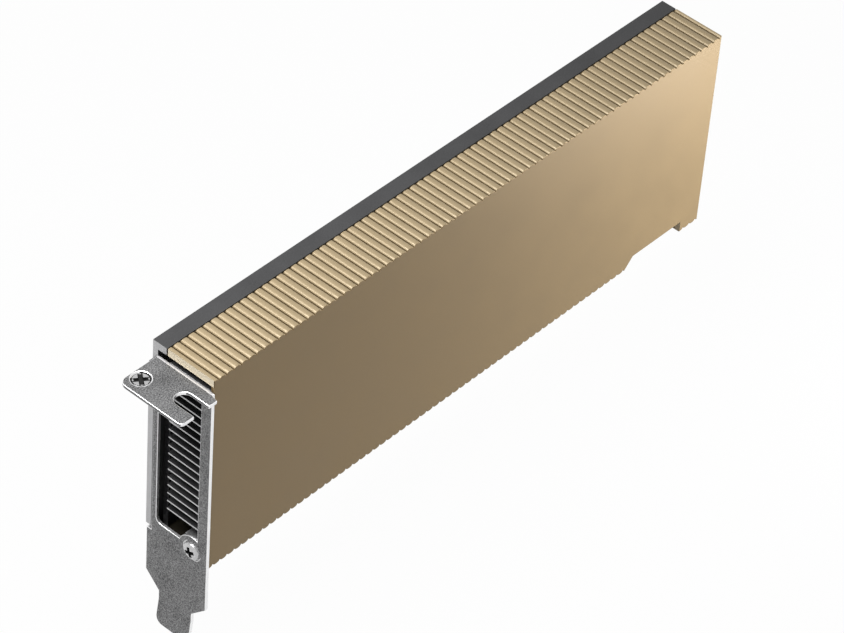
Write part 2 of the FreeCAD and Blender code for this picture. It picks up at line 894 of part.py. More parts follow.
def make_block():
    """The threaded block in the cover's lower corner, which takes the bracket screw."""
    low = (plate_in, cover_inner, cover_low + s.cover_wall)
    high = (plate_in + s.block_length, fix_y + s.block_reach, low[2] + s.block_height)
    bore = round_bar("block_bore", (plate_in, fix_y, fix_z), "+X",
                     s.fix_radius + s.screw_clearance, s.block_length)
    keep("bracket_block", [without("bracket_block", box("block_body", low, high), [bore])])


# Parts on the board

def flat_part(name, x, z, width, height, start, end):
    """A flat part on the board, centred at x and z, between two Y levels with start the higher."""
    return box(name, (x - width / 2, end, z - height / 2), (x + width / 2, start, z + height / 2))


def make_package():
    x, z, side = s.chip_centre, chip_z, s.substrate_side
    top = board_face - s.substrate_thickness
    die_top = top - s.die_thickness
    keep("processor_substrate", [flat_part("substrate", x, z, side, side, board_face, top)])
    keep("processor_die", [flat_part("die", x, z, s.die_width, s.die_height, top, die_top)])
    keep("thermal_paste", [flat_part(
        "paste", x, z, s.die_width, s.die_height, die_top, die_top - s.paste_thickness)])
    inner = side - s.stiffener_width * 2
    ring_top = top - s.stiffener_thickness
    ring = flat_part("ring", x, z, side, side, top, ring_top)
    gap = flat_part("ring_gap", x, z, inner, inner, top, ring_top)
    keep("package_stiffener", [without("stiffener", ring, [gap])])


memory_step = s.memory_width + s.memory_column_gap
memory_reach = s.substrate_side / 2 + s.memory_side_gap + s.memory_width + memory_step


def make_memory():
    """Two columns of three on each side of the processor, as tall as the base allows."""
    chips, pads = [], []
    top = board_face - s.memory_thickness
    height = (base_height - s.memory_edge_gap * 2 - s.memory_row_gap * 2) / 3
    for side in (-1, 1):
        for column in (0, 1):
            for row in (-1, 0, 1):
                x = s.chip_centre + (memory_reach - s.memory_width / 2 - memory_step * column) * side
                z = chip_z + (height + s.memory_row_gap) * row
                name = f"memory{len(chips)}"
                chips.append(flat_part(name, x, z, s.memory_width, height, board_face, top))
                pads.append(flat_part(name + "_pad", x, z, s.memory_width, height, top, base_back))
    keep("memory_chips", chips)
    keep("memory_thermal_pads", pads)


def make_power():
    chokes, choke_pads, stages, stage_pads, cans = [], [], [], [], []
    choke_top = board_face - s.choke_thickness
    stage_top = board_face - s.stage_thickness
    memory_end = s.chip_centre + memory_reach
    group = s.choke_side * 2 + s.stage_gap * 2 + s.stage_width
    free = tie_far - s.spacer_radius - memory_end - group - s.bulk_width
    group_start = memory_end + free * FREE_BEFORE_CHOKES
    group_end = group_start + group
    bulk_column = group_end + free * FREE_BEFORE_BULK + s.bulk_width / 2
    stage_column = group_start + group / 2
    pitch = (base_height - s.choke_edge_gap * 2 - s.choke_side) / (CHOKE_ROWS - 1)
    for row in range(CHOKE_ROWS):
        z = base_low + s.choke_edge_gap + s.choke_side / 2 + pitch * row
        for column in (group_start + s.choke_side / 2, group_end - s.choke_side / 2):
            name = f"choke{len(chokes)}"
            chokes.append(flat_part(name, column, z, s.choke_side, s.choke_side, board_face,
                                    choke_top))
            choke_pads.append(flat_part(name + "_pad", column, z, s.choke_side, s.choke_side,
                                        choke_top, base_back))
        name = f"stage{row}"
        stages.append(flat_part(name, stage_column, z, s.stage_width, s.stage_height, board_face,
                                stage_top))
        stage_pads.append(flat_part(name + "_pad", stage_column, z, s.stage_width, s.stage_height,
                                    stage_top, base_back))
    for row in range(BULK_ROWS):
        z = chip_z + (s.bulk_height + s.bulk_row_gap) * (row - (BULK_ROWS - 1) / 2)
        cans.append(flat_part(f"can{row}", bulk_column, z, s.bulk_width, s.bulk_height, board_face,
                              board_face - s.bulk_thickness))
    keep("power_inductors", chokes)
    keep("inductor_thermal_pads", choke_pads)
    keep("power_stages", stages)
    keep("power_stage_thermal_pads", stage_pads)
    keep("bulk_capacitors", cans)


def make_small_parts():
    x = base_near + s.left_column_gap
    keep("firmware_chip", [flat_part("firmware", x, chip_z - s.firmware_drop, s.firmware_width,
                                     s.firmware_height, board_face,
                                     board_face - s.firmware_thickness)])
    keep("clock_crystal", [flat_part("crystal", x, chip_z + s.crystal_rise, s.crystal_width,
                                     s.crystal_height, board_face,
                                     board_face - s.crystal_thickness)])
    body = new_body("coupling_capacitors", several=True)
    one = new_sketch(body, "XZ_Plane", -board_face)
    low = s.board_foot + s.coupling_rise
    rectangle(one, s.coupling_first, s.coupling_first + s.coupling_width,
              low, low + s.coupling_length)
    run = s.tongue_far - s.coupling_end_gap - s.coupling_width - s.coupling_first
    repeat(body, pad(body, one, s.coupling_thickness), "X_Axis", run / (s.coupling_count - 1),
           s.coupling_count)
    step = s.back_cap_side + s.back_cap_gap
    caps = [
        flat_part(f"back_cap{column}{row}", s.chip_centre + step * column, chip_z + step * row,
                  s.back_cap_side, s.back_cap_side, board_back + s.back_cap_thickness, board_back)
        for column in BACK_CAP_COLUMNS for row in BACK_CAP_ROWS
    ]
    keep("back_capacitors", caps)


# Spring plate and insulating film behind the processor

def make_spring(label, back, thickness):
    """A sheet with an open middle and a fork round each screw. Its +Y face is at back."""
    body = new_body(label)
    across = s.grip_across + s.spring_margin
    up = s.grip_up + s.spring_margin
    half = s.spring_opening / 2
    frame = new_sketch(body, "XZ_Plane", -back)
    rectangle(frame, s.chip_centre - across, s.chip_centre + across, chip_z - up, chip_z + up)
    rectangle(frame, s.chip_centre - half, s.chip_centre + half, chip_z - half, chip_z + half)
    pad(body, frame, thickness)
    forks = new_sketch(body, "XZ_Plane", -back)
    fork = s.grip_radius + s.hole_clearance
    for x, z in grip_places:
        way = 1 if x.value > s.chip_centre.value else -1
        mouth = x + (s.spring_margin + fork) * way
        left, right = (x - fork, mouth) if way > 0 else (mouth, x + fork)
        rectangle(forks, left, right, z - fork, z + fork)
    pocket(body, forks, thickness)


def make_spacers():
    rings = []
    for number, (x, z) in enumerate(tie_places):
        post = doc.addObject("Part::Prism", f"spacer{number}")
        post.Polygon = 6
        bind(post, "Circumradius", s.spacer_radius)
        bind(post, "Height", s.base_gap)
        post.Placement = FreeCAD.Placement(FreeCAD.Vector(), ROTATIONS["-Y"])
        for letter, place in zip("xyz", (x, board_face, z)):
            bind(post, f"Placement.Base.{letter}", place)
        bore = round_bar(f"spacer{number}_bore", (x, board_face, z), "-Y",
                         s.tie_radius + s.screw_clearance, s.base_gap)
        rings.append(without(f"spacer{number}_ring", post, [bore]))
    keep("board_spacers", rings)


make_bracket()
make_cover()
make_frame()
make_board()
make_contacts("edge_contacts_front", board_face, -1)
make_contacts("edge_contacts_back", board_back, 1)
make_base()
make_fins()
make_screws()
make_tab_screw()
make_block()
make_package()
make_memory()
make_power()
make_small_parts()
make_spring("spring_plate", spring_back, s.spring_thickness)
make_spring("spring_film", film_back, s.film_thickness)
make_spacers()
doc.recompute()

# Every object and every node's shape is looked at before anything is written

faults = [item.Label for item in doc.Objects if {"Invalid", "Error"} & set(item.State)]
faults += [node.Label for node in nodes if node.Shape.isNull() or not node.Shape.isValid()]
if faults:
    raise RuntimeError("these did not build: " + ", ".join(faults))

os.makedirs("parts", exist_ok=True)
for node in nodes:
    node.Shape.exportStep(f"parts/{node.Label}.step")
    print(node.Label, len(node.Shape.Solids), "solids", round(node.Shape.Volume, 2), "mm3")
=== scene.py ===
import json
import math

import bmesh
import bpy
from mathutils import Matrix, Vector


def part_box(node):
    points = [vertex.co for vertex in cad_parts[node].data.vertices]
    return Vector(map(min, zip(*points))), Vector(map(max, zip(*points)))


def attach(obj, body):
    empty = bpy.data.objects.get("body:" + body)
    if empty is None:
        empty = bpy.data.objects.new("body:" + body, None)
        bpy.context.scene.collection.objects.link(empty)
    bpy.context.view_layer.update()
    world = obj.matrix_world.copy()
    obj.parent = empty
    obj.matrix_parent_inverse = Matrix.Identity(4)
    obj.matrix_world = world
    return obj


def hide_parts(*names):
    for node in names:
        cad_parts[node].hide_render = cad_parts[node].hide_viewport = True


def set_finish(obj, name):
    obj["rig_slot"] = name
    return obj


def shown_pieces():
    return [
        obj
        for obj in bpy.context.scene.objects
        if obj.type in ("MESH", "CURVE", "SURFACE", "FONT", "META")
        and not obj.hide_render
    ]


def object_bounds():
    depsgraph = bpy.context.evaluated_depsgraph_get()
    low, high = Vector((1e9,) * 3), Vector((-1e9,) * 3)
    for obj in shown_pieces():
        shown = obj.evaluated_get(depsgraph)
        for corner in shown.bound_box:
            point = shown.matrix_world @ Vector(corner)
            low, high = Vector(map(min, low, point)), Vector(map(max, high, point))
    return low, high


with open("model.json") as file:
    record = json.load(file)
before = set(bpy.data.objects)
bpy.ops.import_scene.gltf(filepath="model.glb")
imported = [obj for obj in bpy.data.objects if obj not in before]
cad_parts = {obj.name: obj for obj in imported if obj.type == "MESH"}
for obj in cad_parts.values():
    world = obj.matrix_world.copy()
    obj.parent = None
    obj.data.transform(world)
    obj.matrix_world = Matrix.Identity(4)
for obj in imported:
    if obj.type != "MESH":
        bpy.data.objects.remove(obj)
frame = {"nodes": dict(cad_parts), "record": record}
cad_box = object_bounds()

MM = 0.001

# Places read from the frame

cover_low, cover_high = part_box("heatsink_cover")
bracket_low, bracket_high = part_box("io_bracket")
slot_of = {part["node"]: part["material_slot"] for part in frame["record"]["subparts"]}

# Cover: the sizes of its ribs and relief, and of what the scene adds to them, in metres

RIB_COUNT = 75
FIRST_RIB = 1.40 * MM
LAST_RIB = 0.83 * MM
GROOVE_WIDTH = 0.30 * MM
GROOVE_DEPTH = 0.95 * MM
GROOVE_RUN_OUT = 1.50 * MM
RIB_LIP_DROP = 0.52 * MM
RIB_END = 0.28 * MM
COVER_WALL = 2.00 * MM
COVER_FRONT = 0.90 * MM
COVER_EDGE = 0.22 * MM
RELIEF_FROM_END = 6.70 * MM
RELIEF_LENGTH = 17.60 * MM
RELIEF_RAMP = 2.80 * MM
RELIEF_RISE = 3.00 * MM

# Bracket: its sheet and the inner radius of its bend

SHEET = 0.86 * MM
BEND = 0.40 * MM

# Tolerances for mesh work: a distance, two angles, and how far a normal has to run along an axis to
# lie on it, or mostly along it

WELD = 1e-6
FLAT_ANGLE = math.radians(0.3)
SHARP_ANGLE = math.radians(28)
STRAIGHT = 0.99999
MOSTLY = 0.6

# Meshes


def new_piece(name, mesh, slot, *nodes):
    """Puts a finished mesh into the scene as a piece that rides on the card."""
    piece = bpy.data.objects.new(name, mesh)
    bpy.context.scene.collection.objects.link(piece)
    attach(piece, "root")
    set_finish(piece, slot)
    if nodes:
        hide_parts(*nodes)
    return piece


def mesh_from(shape, name):
    """Turns a bmesh into a mesh with smooth curves and crisp edges."""
    bmesh.ops.recalc_face_normals(shape, faces=shape.faces)
    mesh = bpy.data.meshes.new(name)
    shape.to_mesh(mesh)
    shape.free()
    mesh.polygons.foreach_set("use_smooth", [True] * len(mesh.polygons))
    mesh.set_sharp_from_angle(angle=SHARP_ANGLE)
    for face in mesh.polygons:
        if max(abs(part) for part in face.normal) > STRAIGHT:
            face.use_smooth = False
    return mesh


def node_shape(node):
    """A node's mesh with its triangles merged back into whole faces."""
    shape = bmesh.new()
    shape.from_mesh(frame["nodes"][node].data)
    bmesh.ops.remove_doubles(shape, verts=shape.verts, dist=WELD)
    bmesh.ops.dissolve_limit(shape, angle_limit=FLAT_ANGLE, verts=shape.verts, edges=shape.edges)
    return shape


def softened(node, width, segments=2, rim=0, tint=None):
    """A copy of a node with rounded edges. rim is the material number of the rounded edges, and
    tint gives the number of every other face from its centre and normal."""
    shape = node_shape(node)
    sharp = [edge for edge in shape.edges
             if edge.is_manifold and edge.calc_face_angle(0.0) > SHARP_ANGLE]
    rounded = bmesh.ops.bevel(shape, geom=sharp, offset=width, segments=segments, profile=0.5,
                              affect="EDGES", clamp_overlap=False)
    for face in rounded["faces"]:
        face.material_index = rim
    mesh = mesh_from(shape, node + "_detailed")
    if tint:
        for face in mesh.polygons:
            if not face.material_index:
                face.material_index = tint(face.center, face.normal)
    return new_piece(node + "_detailed", mesh, slot_of[node], node)


def boolean(mesh, cutter_mesh):
    """The first mesh with the second one cut away."""
    base = bpy.data.objects.new("base", mesh)
    cutter = bpy.data.objects.new("cutter", cutter_mesh)
    for item in (base, cutter):
        bpy.context.scene.collection.objects.link(item)
    cut = base.modifiers.new("cut", "BOOLEAN")
    cut.operation = "DIFFERENCE"
    cut.solver = "EXACT"
    cut.object = cutter
    bpy.context.view_layer.update()
    evaluated = base.evaluated_get(bpy.context.evaluated_depsgraph_get())
    result = bmesh.new()
    result.from_mesh(bpy.data.meshes.new_from_object(evaluated))
    for item in (base, cutter):
        bpy.data.objects.remove(item)
    return result


def box_shape(low, high):
    """A block between two corners."""
    shape = bmesh.new()
    bmesh.ops.create_cube(shape, size=1)
    size = Vector(high) - Vector(low)
    middle = (Vector(high) + Vector(low)) / 2
    bmesh.ops.scale(shape, vec=size, verts=shape.verts)
    bmesh.ops.translate(shape, vec=middle, verts=shape.verts)
    return shape


def plain_mesh(shape, name):
    """Turns a bmesh into a mesh as it is."""
    mesh = bpy.data.meshes.new(name)
    shape.to_mesh(mesh)
    shape.free()
    return mesh


def shell_of_rings(rings):
    """A closed surface through equal rings of points, with a face at each end."""
    shape = bmesh.new()
    rows = [[shape.verts.new(point) for point in ring] for ring in rings]
    count = len(rows[0])
    for lower, upper in zip(rows, rows[1:]):
        for place in range(count):
            following = (place + 1) % count
            shape.faces.new((lower[place], lower[following], upper[following], upper[place]))
    shape.faces.new(list(reversed(rows[0])))
    shape.faces.new(rows[-1])
    return shape


# Ribbed cover: smooth ridges and a rounded front edge. A ridge is drawn with RIB_SAMPLES steps to
# each side of its crest, and is flatter on top the higher RIB_SHAPE is. The shares are parts of a
# groove's width and depth, and of the front edge's radius at the middle of its round.

RIB_SAMPLES = 9
RIB_SHAPE = 2.6
GROOVE_WALL = 0.42
GROOVE_WALL_DEPTH = 0.85
GROOVE_FLOOR = 0.20
MIDDLE_OF_ROUND = 0.29
DUCT_OVERRUN = 5 * MM


def rib_drops():
    """Places along one ridge and the drop below its crest there, from groove to groove."""
    pitch = (cover_high.x - cover_low.x - FIRST_RIB - LAST_RIB) / (RIB_COUNT - 1)
    half = (pitch - GROOVE_WIDTH) / 2
    drops = []
    for step in range(-RIB_SAMPLES, RIB_SAMPLES + 1):
        share = math.sin(step / RIB_SAMPLES * math.pi / 2)
        fall = 1 - math.sqrt(max(0.0, 1 - abs(share) ** RIB_SHAPE))
        drops.append((pitch / 2 + share * half, RIB_LIP_DROP * fall))
    return pitch, drops


def wall_profile():
    """(x, depth) pairs along one ribbed wall, from the bracket's end to the far end."""
    pitch, drops = rib_drops()
    wall = (GROOVE_WIDTH * GROOVE_WALL, GROOVE_DEPTH * GROOVE_WALL_DEPTH)
    floor = (GROOVE_WIDTH * GROOVE_FLOOR, GROOVE_DEPTH)
    groove = [(-wall[0], wall[1]), (-floor[0], floor[1]), floor, wall]
    points = []
    first = cover_low.x + FIRST_RIB - pitch
    for number in range(RIB_COUNT + 1):
        start = first + pitch * number
        if number:
            points += [(start + along, depth) for along, depth in groove]
        points += [(start + along, depth) for along, depth in drops]
    inside = [point for point in points if cover_low.x < point[0] < cover_high.x]
    near = (cover_low.x, inside[0][1])
    far = (cover_high.x, inside[-1][1])
    return [near] + inside + [far]


def relief_height(x):
    """How far the bottom wall's cut-out rises above the lower edge at x."""
    start = cover_high.x - RELIEF_FROM_END
    ramp_top = start - RELIEF_LENGTH
    if x > start or x < ramp_top - RELIEF_RAMP:
        return 0.0
    return RELIEF_RISE * min(1.0, (x - ramp_top + RELIEF_RAMP) / RELIEF_RAMP)


def make_cover():
    """The duct, from rings round its outline at six depths, with the inside cut away."""
    start = cover_high.x - RELIEF_FROM_END
    corners = [(start - RELIEF_LENGTH - RELIEF_RAMP, 0.0), (start - RELIEF_LENGTH, 0.0),
               (start, 0.0), (start + WELD * 10, 0.0)]
    top = wall_profile()
    bottom = sorted(wall_profile() + corners, reverse=True)
    depth = cover_high.y - cover_low.y
    rings = []
    round_middle = COVER_EDGE * MIDDLE_OF_ROUND
    for inset, back, deepest in (
            (COVER_EDGE, 0.0, RIB_LIP_DROP), (round_middle, round_middle, RIB_LIP_DROP),
            (0.0, COVER_EDGE, RIB_LIP_DROP), (0.0, GROOVE_RUN_OUT, GROOVE_DEPTH),
            (0.0, depth - RIB_END, GROOVE_DEPTH), (RIB_END, depth, GROOVE_DEPTH)):
        ring = []
        for x, drop in top:
            across = min(max(x, cover_low.x + inset), cover_high.x - inset)
            ring.append((across, cover_low.y + back, cover_high.z - min(drop, deepest) - inset))
        for x, drop in bottom:
            across = min(max(x, cover_low.x + inset), cover_high.x - inset)
            rise = max(min(drop, deepest), relief_height(x))
            ring.append((across, cover_low.y + back, cover_low.z + rise + inset))
        rings.append(ring)
    block = plain_mesh(shell_of_rings(rings), "cover_block")
    duct = plain_mesh(box_shape(
        (cover_low.x - DUCT_OVERRUN, cover_low.y + COVER_FRONT, cover_low.z + COVER_WALL),
        (cover_high.x + DUCT_OVERRUN, cover_high.y + DUCT_OVERRUN, cover_high.z - COVER_WALL)),
        "duct")
    shape = boolean(block, duct)
    bmesh.ops.bisect_plane(shape, geom=shape.verts[:] + shape.edges[:] + shape.faces[:], dist=WELD,
                           plane_co=(0, 0, cover_high.z - COVER_WALL), plane_no=(0, 0, 1))
    mesh = mesh_from(shape, "ribbed_cover")
    for face in mesh.polygons:
        face.material_index = cover_tint(face.center, face.normal)
    return new_piece("ribbed_cover", mesh, "gold_anodised", "heatsink_cover")


def cover_tint(centre, normal):
    """0 on the flat front, 1 on the ridges, in a lighter gold that paints light on them, 2 inside
    the duct, in near-black painted shade, 3 on the top wall's near end, in a pale gold that paints a
    highlight there, and 4 down in the grooves, in dark painted shade."""
    if abs(normal.x) > STRAIGHT and centre.z > cover_high.z - COVER_WALL:
        # The end facing the bracket gets the pale painted highlight; the far end gets the ridges'
        # gold
        return 3 if normal.x < 0 else 1
    if abs(normal.x) > STRAIGHT and not cover_low.x + WELD < centre.x < cover_high.x - WELD:
        return 0
    drop = min(centre.z - cover_low.z, cover_high.z - centre.z)
    faces_front = abs(normal.y) > 0.5
    if RIB_LIP_DROP * 0.8 < drop < GROOVE_DEPTH * 1.1 and not faces_front:
        return 4
    walls = cover_low.z + COVER_WALL - WELD < centre.z < cover_high.z - COVER_WALL + WELD
    if walls and centre.y > cover_low.y + COVER_FRONT - WELD:
        return 2
    return 0 if faces_front else 1


# Screws: a domed head, a tapered cross recess and a threaded shank. The head heights and shank
# radii are the ones that the solids have. Angles and spins are in degrees.

SCREW_SIDES = 40
THREAD_PITCH = 0.50 * MM
THREAD_DEPTH = 0.12 * MM
THREAD_START = -0.05 * MM
THREAD_STEPS = 6
TIP_LENGTH = 0.15 * MM
TIP_SHARE = 0.72
DOME_RIM = 0.45
DOME_ANGLES = (0, 18, 36, 54, 68, 78)
SEAT_SHARE = 0.97
SEAT_ROUND = 0.08
FIRST_SPIN = 20
NEXT_SPIN = 37

BRACKET_SCREW_HEAD = 1.25 * MM
BRACKET_SCREW_SHANK = 1.25 * MM
PROCESSOR_SCREW_HEAD = 1.20 * MM
PROCESSOR_SCREW_SHANK = 1.25 * MM
FRAME_SCREW_HEAD = 0.90 * MM
FRAME_SCREW_SHANK = 1.00 * MM

# The cross recess: shares of a head's radius and height, how far it narrows towards its floor, and
# how far the plug that cuts it stands out above the head

CROSS_REACH = 0.66
CROSS_HALF_WIDTH = 0.20
CROSS_DEPTH = 0.80
FLOOR_REACH = 0.60
FLOOR_HALF_WIDTH = 0.70
PLUG_ABOVE = 0.20

# The screw in the tab: the radius of its stem, its edges, and the rest as shares of its stem's
# radius, its own radius and its length

TAB_STEM = 1.55 * MM
TAB_STEM_ROUND = 0.10 * MM
TAB_CONE_GAP = 0.02 * MM
TAB_DISC_EDGE = 0.04 * MM
TAB_STEM_TIP = 0.80
TAB_FACE_OUT = 0.95
TAB_FACE_IN = 0.80
TAB_CROSS_REACH = 0.86
TAB_CROSS_HALF_WIDTH = 0.30
TAB_CROSS_DEPTH = 0.85
# Beyond TAB_RIM's share of its radius, the screw's rim takes the near-black second material, painted
# shade in the dimple round it
TAB_RIM = 0.88
TAB_SPIN = 53


def turned(profile, thread_from=None):
    """Rings round +Z from (radius, height) pairs, threaded below thread_from where it is given."""
    rings = []
    for radius, height in profile:
        ring = []
        for side in range(SCREW_SIDES):
            share = side / SCREW_SIDES
            reach = radius
            if thread_from is not None and height < thread_from:
                phase = ((height - thread_from) / THREAD_PITCH + share) % 1.0
                reach -= THREAD_DEPTH * abs(2 * phase - 1)
            angle = share * math.tau
            ring.append((reach * math.cos(angle), reach * math.sin(angle), height))
        rings.append(ring)
    return rings


def cross_cutter(reach, half_width, top, depth):
    """A plus-shaped plug with sloping walls, which cuts the driver's recess."""
    rings = []
    for height, long, thin in (
            (top - depth, reach * FLOOR_REACH, half_width * FLOOR_HALF_WIDTH),
            (top + depth * PLUG_ABOVE, reach, half_width)):
        ring = []
        for turn in range(4):
            quarter = Matrix.Rotation(math.radians(90 * turn), 3, "Z")
            ring += [quarter @ Vector((x, y, height))
                     for x, y in ((long, -thin), (long, thin), (thin, thin))]
        rings.append(ring)
    return shell_of_rings(rings)


def with_recess(body, reach, half_width, top, depth):
    """Cuts a cross recess into a screw's head and gives its walls and floor the second material,
    which is near-black painted shade.
    """
    cutter = plain_mesh(cross_cutter(reach, half_width, top, depth), "cross")
    shape = boolean(body, cutter)
    for face in shape.faces:
        centre = face.calc_center_median()
        across = math.hypot(centre.x, centre.y)
        if top - depth * 1.05 < centre.z < top - depth * 0.2 and across < reach:
            face.material_index = 1
    return shape


def screw_mesh(name, head, shank_radius, length, recess):
    """A screw whose seat is at the origin, with its head above and its shank below."""
    steps = max(4, int(length / THREAD_PITCH * THREAD_STEPS))
    shank = [(shank_radius, -length * (1 - step / steps)) for step in range(2, steps)]
    tip = [(shank_radius * TIP_SHARE, -length), (shank_radius, -length + TIP_LENGTH)]
    profile = tip + shank + head
    body = plain_mesh(shell_of_rings(turned(profile, THREAD_START)), name + "_body")
    reach, half_width, depth = recess
    return with_recess(body, reach, half_width, head[-1][1], depth)


def pan_head(radius, height, shank_radius):
    """A low domed head's outline, from its seat to its crown."""
    dome = [(radius * math.cos(angle), height * (DOME_RIM + (1 - DOME_RIM) * math.sin(angle)))
            for angle in map(math.radians, DOME_ANGLES)]
    return [(shank_radius, 0.0), (radius * SEAT_SHARE, 0.0), (radius, height * SEAT_ROUND)] + dome


def place_screws(name, node, seats, way, head_radius, head_height, shank_radius, length, slot):
    """Screws with their seats at the given places. way points from the shank to the head."""
    whole = bmesh.new()
    head = pan_head(head_radius, head_height, shank_radius)
    recess = (head_radius * CROSS_REACH, head_radius * CROSS_HALF_WIDTH, head_height * CROSS_DEPTH)
    turn = Vector((0, 0, 1)).rotation_difference(Vector(way)).to_matrix().to_4x4()
    for number, seat in enumerate(seats):
        shape = screw_mesh(name, head, shank_radius, length, recess)
        spin = Matrix.Rotation(math.radians(FIRST_SPIN + NEXT_SPIN * number), 4, "Z")
        bmesh.ops.transform(shape, matrix=Matrix.Translation(seat) @ turn @ spin, verts=shape.verts)
        part = plain_mesh(shape, "part")
        whole.from_mesh(part)
    return new_piece(name, mesh_from(whole, name), slot, node)


def islands(node):
    """The lowest and highest corner of each separate solid in a node."""
    shape = node_shape(node)
    found, seen = [], set()
    for vert in shape.verts:
        if vert in seen:
            continue
        group, waiting = [], [vert]
        seen.add(vert)
        while waiting:
            here = waiting.pop()
            group.append(here.co.copy())
            for link in here.link_edges:
                other = link.other_vert(here)
                if other not in seen:
                    seen.add(other)
                    waiting.append(other)
        found.append((Vector([min(p[i] for p in group) for i in range(3)]),
                      Vector([max(p[i] for p in group) for i in range(3)])))
    shape.free()
    return found


def make_screws():
    """The bracket's screw, with its head to the outside, and those behind the board."""
    low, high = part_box("bracket_screw")
    middle = (low + high) / 2
    seat = Vector((low.x + BRACKET_SCREW_HEAD, middle.y, middle.z))
    place_screws("bracket_screw_detailed", "bracket_screw", [seat], (-1, 0, 0),
                 (high.y - low.y) / 2, BRACKET_SCREW_HEAD, BRACKET_SCREW_SHANK,
                 high.x - seat.x, "screw_steel")
    for node, head_height, shank, slot in (
            ("processor_screws", PROCESSOR_SCREW_HEAD, PROCESSOR_SCREW_SHANK, "screw_steel"),
            ("frame_screws", FRAME_SCREW_HEAD, FRAME_SCREW_SHANK, "frame_screw_black")):
        boxes = islands(node)
        seats = [Vector(((a.x + b.x) / 2, b.y - head_height, (a.z + b.z) / 2)) for a, b in boxes]
        radius = (boxes[0][1].x - boxes[0][0].x) / 2
        length = seats[0].y - boxes[0][0].y
        place_screws(node + "_detailed", node, seats, (0, 1, 0), radius, head_height, shank,
                     length, slot)


def make_tab_screw():
    """The screw sunk in the tab: a flat disc on a 45 degree cone, with a stem and a rim darkened
    with painted shade.
    """
    low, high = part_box("tab_screw")
    middle = (low + high) / 2
    radius = (high.x - low.x) / 2
    cone = radius - TAB_STEM
    length = high.z - low.z
    profile = [(TAB_STEM * TAB_STEM_TIP, -length), (TAB_STEM, -length + TAB_STEM_ROUND),
               (TAB_STEM, -cone - TAB_CONE_GAP), (radius, -TAB_DISC_EDGE),
               (radius * TAB_FACE_OUT, 0.0), (radius * TAB_FACE_IN, 0.0)]
    body = plain_mesh(shell_of_rings(turned(profile)), "tab_screw_body")
    shape = with_recess(body, radius * TAB_CROSS_REACH, radius * TAB_CROSS_HALF_WIDTH, 0.0,
                        length * TAB_CROSS_DEPTH)
    for face in shape.faces:
        centre = face.calc_center_median()
        # The rim takes the second material: painted shade
        if math.hypot(centre.x, centre.y) > radius * TAB_RIM:
            face.material_index = 1
    spin = Matrix.Rotation(math.radians(TAB_SPIN), 4, "Z")
    place = Matrix.Translation((middle.x, middle.y, high.z)) @ spin
    bmesh.ops.transform(shape, matrix=place, verts=shape.verts)
    new_piece("tab_screw_detailed", mesh_from(shape, "tab_screw_detailed"), "screw_steel",
              "tab_screw")


# Sheet and machined pieces with rounded edges, by the width of the rounding

EDGES = {
    "heatsink_base": 0.15 * MM,
    "bracket_block": 0.12 * MM,
    "circuit_board": 0.04 * MM,
    "spring_plate": 0.08 * MM,
    "memory_chips": 0.10 * MM,
    "power_stages": 0.08 * MM,
    "firmware_chip": 0.08 * MM,
    "clock_crystal": 0.10 * MM,
    "bulk_capacitors": 0.22 * MM,
    "power_inductors": 0.30 * MM,
    "processor_substrate": 0.05 * MM,
    "processor_die": 0.03 * MM,
    "package_stiffener": 0.06 * MM,
    "board_spacers": 0.12 * MM,
    "edge_contacts_front": 0.015 * MM,
    "edge_contacts_back": 0.015 * MM,
}
BRACKET_EDGE = 0.12 * MM
FRAME_EDGE = 0.14 * MM
FIN_EDGE = 0.05 * MM


def bracket_tint(centre, normal):
    """1 on the plate's sheared faces, bare steel brightened as a painted highlight, 2 on the tab's
    outer edge, 3 in the countersink, in near-black painted shade, and 4 on the outside of the bend,
    in a pale grey that paints its highlight."""
    plate_top = bracket_high.z - SHEET - BEND
    bend_start = bracket_high.x - SHEET - BEND
    if centre.z > plate_top and abs(normal.y) < MOSTLY:
        if centre.x > bend_start and normal.z > 0.1:
            return 4
        if 0.5 < normal.z < 0.9:
            return 3
        return 2 if normal.x < -MOSTLY else 0
    return int(max(abs(normal.y), abs(normal.z)) > MOSTLY)


def near_end_tint(centre, normal):
    """1 on the cut ends that face the bracket, of the frame and of the fins; on the fins it is a
    painted highlight on their near edges.
    """
    return int(normal.x < -MOSTLY)


def make_sheet_pieces():
    # The bracket's rounded edges take material 1, the bright steel that paints a highlight on them
    softened("io_bracket", BRACKET_EDGE, rim=1, tint=bracket_tint)
    softened("back_frame", FRAME_EDGE, tint=near_end_tint)
    softened("heatsink_fins", FIN_EDGE, segments=1, tint=near_end_tint)
    for node, width in EDGES.items():
        softened(node, width)


# Small capacitors: the share of the length that the plating takes at each end

PLATED = 0.24


def make_capacitors():
    """Small ceramic capacitors with plated ends."""
    for node, axis in (("coupling_capacitors", 2), ("back_capacitors", 0)):
        shape = node_shape(node)
        planes = set()
        for low, high in islands(node):
            length = high[axis] - low[axis]
            planes.add(round(low[axis] + length * PLATED, 6))
            planes.add(round(high[axis] - length * PLATED, 6))
        normal = Vector([float(axis == i) for i in range(3)])
        for place in sorted(planes):
            bmesh.ops.bisect_plane(shape, geom=shape.verts[:] + shape.edges[:] + shape.faces[:],
                                   dist=WELD, plane_co=normal * place, plane_no=normal)
        mesh = mesh_from(shape, node + "_detailed")
        boxes = islands(node)
        for face in mesh.polygons:
            centre = face.center
            for low, high in boxes:
                if all(low[i] - WELD < centre[i] < high[i] + WELD for i in range(3)):
                    share = (centre[axis] - low[axis]) / (high[axis] - low[axis])
                    face.material_index = int(not PLATED < share < 1 - PLATED)
        new_piece(node + "_detailed", mesh, "capacitor_ceramic", node)


# Materials

# A mottle's size in grains, and the parts of a noise's range that its colour and gloss run over

